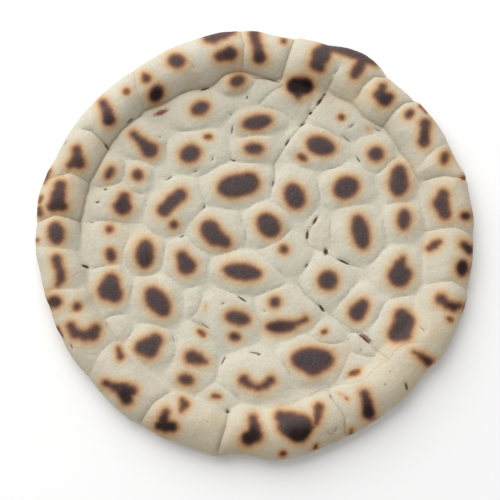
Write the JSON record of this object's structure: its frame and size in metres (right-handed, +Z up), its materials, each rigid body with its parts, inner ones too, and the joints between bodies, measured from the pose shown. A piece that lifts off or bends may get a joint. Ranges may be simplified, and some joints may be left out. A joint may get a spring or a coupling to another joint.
{
  "type": "naan",
  "caption": "Round baked flatbread with a puffed, creased rim and a pillowed middle, browned in spots, lying flat.",
  "frame": {"origin": "middle of the bounding box of the flat underside, at the surface the naan lies on", "axes": "+Z up through the naan's thickness, +Y towards the picture's top edge, +X towards its right edge"},
  "size_m": [0.2408, 0.2403, 0.0165],
  "materials": {
    "crust": "dry matt baked crust, pale cream with dark brown char spots"
  },
  "bodies": {
    "root": {"naan": "crust"}
  },
  "joints": []
}
